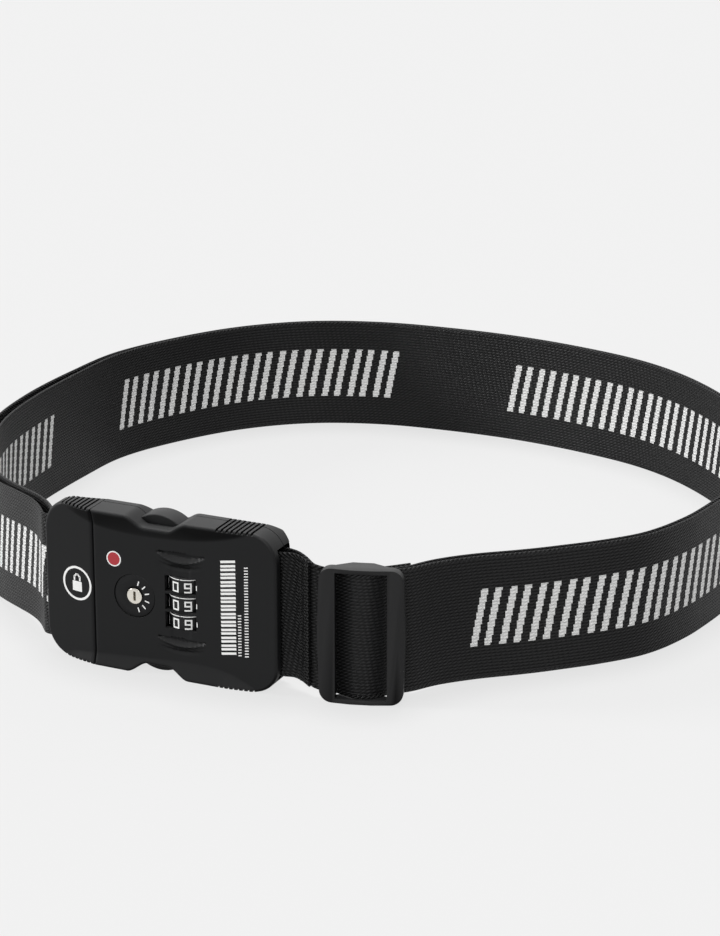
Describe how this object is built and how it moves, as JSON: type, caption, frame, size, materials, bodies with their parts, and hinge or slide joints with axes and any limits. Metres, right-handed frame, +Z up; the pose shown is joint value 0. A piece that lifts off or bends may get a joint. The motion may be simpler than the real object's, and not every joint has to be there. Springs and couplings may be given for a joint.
{
  "type": "luggage strap",
  "caption": "Closed loop of wide woven webbing with a side-release combination buckle, a key override and a slide adjuster.",
  "frame": {"origin": "centre of the bounding box's bottom face, on the floor the loop stands on", "axes": "+Z up along the width of the standing webbing; the lock faces -Y, the far side of the loop is at +Y; +X to the lock's right"},
  "size_m": [0.3266, 0.342, 0.062],
  "materials": {
    "lock_plastic": "fine matte texture",
    "adjuster_plastic": "satin moulded",
    "dial_plastic": "satin moulded, white figures",
    "sleeve_plastic": "natural moulded",
    "key_brass": "nickel-washed, lightly worn",
    "steel": "plain",
    "webbing": "polyester twill weave with a woven white pattern",
    "thread": "bonded sewing thread"
  },
  "bodies": {
    "strap_and_housing": {"front_housing": "lock_plastic", "back_housing": "lock_plastic", "housing_webbing_pin": "steel", "dial_spindle": "steel", "dial_detent_spring": "steel", "key_escutcheon": "lock_plastic", "locking_bar_spring": "steel", "housing_screw_1": "steel", "housing_screw_2": "steel", "housing_screw_3": "steel", "housing_screw_4": "steel", "webbing_lock_loop": "webbing", "hem_stitching": "thread", "webbing_outer_front": "webbing", "webbing_inner_front": "webbing", "webbing_outer_right": "webbing", "webbing_inner_right": "webbing", "webbing_outer_back_right": "webbing", "webbing_inner_back_right": "webbing", "webbing_outer_back_left": "webbing", "webbing_inner_back_left": "webbing", "webbing_outer_left": "webbing", "webbing_inner_left": "webbing"},
    "plug": {"plug_head": "lock_plastic", "plug_webbing_pin": "steel", "webbing_plug_fold": "webbing"},
    "upper_arm": {"upper_release_arm": "lock_plastic"},
    "lower_arm": {"lower_release_arm": "lock_plastic"},
    "dial_1": {"number_dial_1": "dial_plastic", "dial_sleeve_1": "sleeve_plastic"},
    "dial_2": {"number_dial_2": "dial_plastic", "dial_sleeve_2": "sleeve_plastic"},
    "dial_3": {"number_dial_3": "dial_plastic", "dial_sleeve_3": "sleeve_plastic"},
    "key_barrel": {"key_cylinder": "key_brass", "key_cam": "steel"},
    "bar": {"locking_bar": "steel"},
    "reset": {"reset_button": "dial_plastic"},
    "adjuster": {"slider_frame": "adjuster_plastic", "webbing_over_slider": "webbing", "webbing_slider_fold": "webbing"}
  },
  "joints": [
    {"name": "plug_slide", "type": "slide", "parent": "strap_and_housing", "child": "plug", "axis": [-0.91, 0.4147, 0], "range_m": [0, 0.047], "deforming": ["webbing_outer_left", "webbing_inner_left", "upper_release_arm", "lower_release_arm"]},
    {"name": "upper_arm_squeeze", "type": "hinge", "parent": "plug", "child": "upper_arm", "pos_m": [-0.10988, -0.1182, 0.0546], "axis": [0.4147, 0.91, 0], "range_deg": [0, 6], "stiffness_Nm_per_rad": 1},
    {"name": "lower_arm_squeeze", "type": "hinge", "parent": "plug", "child": "lower_arm", "pos_m": [-0.10988, -0.1182, 0.0074], "axis": [-0.4147, -0.91, 0], "range_deg": [0, 6], "stiffness_Nm_per_rad": 1},
    {"name": "dial_1_turn", "type": "hinge", "parent": "strap_and_housing", "child": "dial_1", "pos_m": [-0.06965, -0.13796, 0.0384], "axis": [0, 0, 1], "continuous": true},
    {"name": "dial_2_turn", "type": "hinge", "parent": "strap_and_housing", "child": "dial_2", "pos_m": [-0.06965, -0.13796, 0.031], "axis": [0, 0, 1], "continuous": true},
    {"name": "dial_3_turn", "type": "hinge", "parent": "strap_and_housing", "child": "dial_3", "pos_m": [-0.06965, -0.13796, 0.0236], "axis": [0, 0, 1], "continuous": true},
    {"name": "key_turn", "type": "hinge", "parent": "strap_and_housing", "child": "key_barrel", "pos_m": [-0.08704, -0.12861, 0.031], "axis": [0.4147, 0.91, 0], "range_deg": [0, 90]},
    {"name": "locking_bar_slide", "type": "slide", "parent": "strap_and_housing", "child": "bar", "axis": [0.91, -0.4147, 0], "range_m": [0, 0.004], "deforming": ["locking_bar_spring"]},
    {"name": "reset_press", "type": "slide", "parent": "strap_and_housing", "child": "reset", "axis": [-0.4147, -0.91, 0], "range_m": [0, 0.0015], "stiffness_N_per_m": 150},
    {"name": "adjuster_slide", "type": "slide", "parent": "strap_and_housing", "child": "adjuster", "axis": [0.991, -0.134, 0], "range_m": [0, 0.02], "deforming": ["webbing_outer_front", "webbing_inner_front", "webbing_lock_loop", "hem_stitching"]}
  ],
  "couplings": [
    {"joint": "key_turn", "follows": "locking_bar_slide", "rad_per_m": 392.7}
  ]
}
